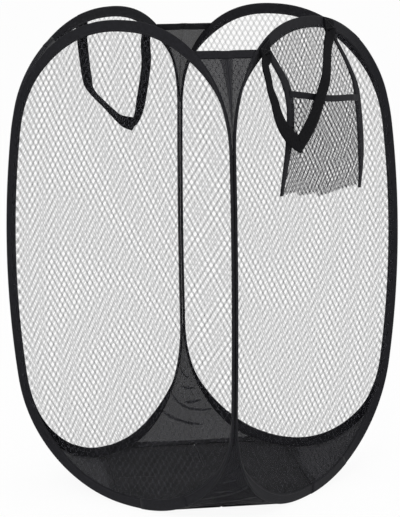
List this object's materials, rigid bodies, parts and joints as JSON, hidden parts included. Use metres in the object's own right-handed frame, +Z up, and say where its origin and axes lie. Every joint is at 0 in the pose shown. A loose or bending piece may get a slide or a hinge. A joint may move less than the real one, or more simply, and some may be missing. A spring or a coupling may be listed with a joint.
{
  "type": "pop-up laundry hamper",
  "caption": "Square pop-up laundry hamper of oval mesh panels on spring-wire hoops, with fabric corners and base, webbing handles and a mesh side pocket; folds flat.",
  "frame": {"origin": "centre of the base's underside, midway between the four panels", "axes": "+Z up, -Y towards the panel with the pocket, +X towards the panel on that panel's right seen from outside"},
  "size_m": [0.3638, 0.3713, 0.61],
  "materials": {
    "spring_steel_wire": "drawn",
    "steel_sleeve": "crimped",
    "binding_tape": "ribbed weave",
    "mesh_net": "knitted net",
    "pocket_net": "knitted net",
    "gusset_tricot": "fine knit",
    "handle_webbing": "woven webbing",
    "base_fabric": "plain weave"
  },
  "bodies": {
    "front_panel": {"front_wire_hoop": "spring_steel_wire", "front_hoop_ferrule": "steel_sleeve", "front_edge_binding": "binding_tape", "front_mesh_panel": "mesh_net", "front_handle_left_end": "handle_webbing", "front_handle_right_end": "handle_webbing", "pocket_back": "pocket_net", "pocket_front": "pocket_net", "pocket_left_binding": "binding_tape", "pocket_right_binding": "binding_tape", "pocket_mouth_binding": "binding_tape", "front_left_top_gusset": "gusset_tricot", "front_left_top_hem": "binding_tape", "front_left_bottom_gusset": "gusset_tricot", "front_right_top_gusset": "gusset_tricot", "front_right_top_hem": "binding_tape", "front_right_bottom_gusset": "gusset_tricot", "base_panel": "base_fabric"},
    "left_panel": {"left_wire_hoop": "spring_steel_wire", "left_hoop_ferrule": "steel_sleeve", "left_edge_binding": "binding_tape", "left_mesh_panel": "mesh_net", "back_left_top_gusset": "gusset_tricot", "back_left_top_hem": "binding_tape", "back_left_bottom_gusset": "gusset_tricot"},
    "right_panel": {"right_wire_hoop": "spring_steel_wire", "right_hoop_ferrule": "steel_sleeve", "right_edge_binding": "binding_tape", "right_mesh_panel": "mesh_net", "back_right_top_gusset": "gusset_tricot", "back_right_top_hem": "binding_tape", "back_right_bottom_gusset": "gusset_tricot"},
    "back_panel": {"back_wire_hoop": "spring_steel_wire", "back_hoop_ferrule": "steel_sleeve", "back_edge_binding": "binding_tape", "back_mesh_panel": "mesh_net", "back_handle_left_end": "handle_webbing", "back_handle_right_end": "handle_webbing"},
    "front_handle": {"front_handle_strap": "handle_webbing"},
    "back_handle": {"back_handle_strap": "handle_webbing"}
  },
  "joints": [
    {"name": "left_fold", "type": "hinge", "parent": "front_panel", "child": "left_panel", "pos_m": [-0.16, -0.16, 0.305], "axis": [0, 0, -1], "range_deg": [0, 80], "stiffness_Nm_per_rad": 0.1, "deforming": ["front_left_top_gusset", "front_left_top_hem", "front_left_bottom_gusset", "base_panel"]},
    {"name": "right_fold", "type": "hinge", "parent": "front_panel", "child": "right_panel", "pos_m": [0.1825, -0.1825, 0.305], "axis": [0, 0, -1], "range_deg": [0, 80], "deforming": ["front_right_top_gusset", "front_right_top_hem", "front_right_bottom_gusset", "back_right_top_gusset", "back_right_top_hem", "back_right_bottom_gusset"]},
    {"name": "back_fold", "type": "hinge", "parent": "left_panel", "child": "back_panel", "pos_m": [-0.1825, 0.1825, 0.305], "axis": [0, 0, 1], "range_deg": [0, 80], "deforming": ["back_left_top_gusset", "back_left_top_hem", "back_left_bottom_gusset"]},
    {"name": "front_handle_swing", "type": "hinge", "parent": "front_panel", "child": "front_handle", "pos_m": [-0.024, -0.16416, 0.57991], "axis": [-0.9911, -0.0197, -0.1319], "range_deg": [0, 165]},
    {"name": "back_handle_swing", "type": "hinge", "parent": "back_panel", "child": "back_handle", "pos_m": [0.024, 0.16416, 0.57991], "axis": [0.9911, 0.0197, -0.1319], "range_deg": [0, 165]}
  ],
  "couplings": [
    {"joint": "right_fold", "follows": "left_fold", "ratio": 1},
    {"joint": "back_fold", "follows": "left_fold", "ratio": 1}
  ]
}
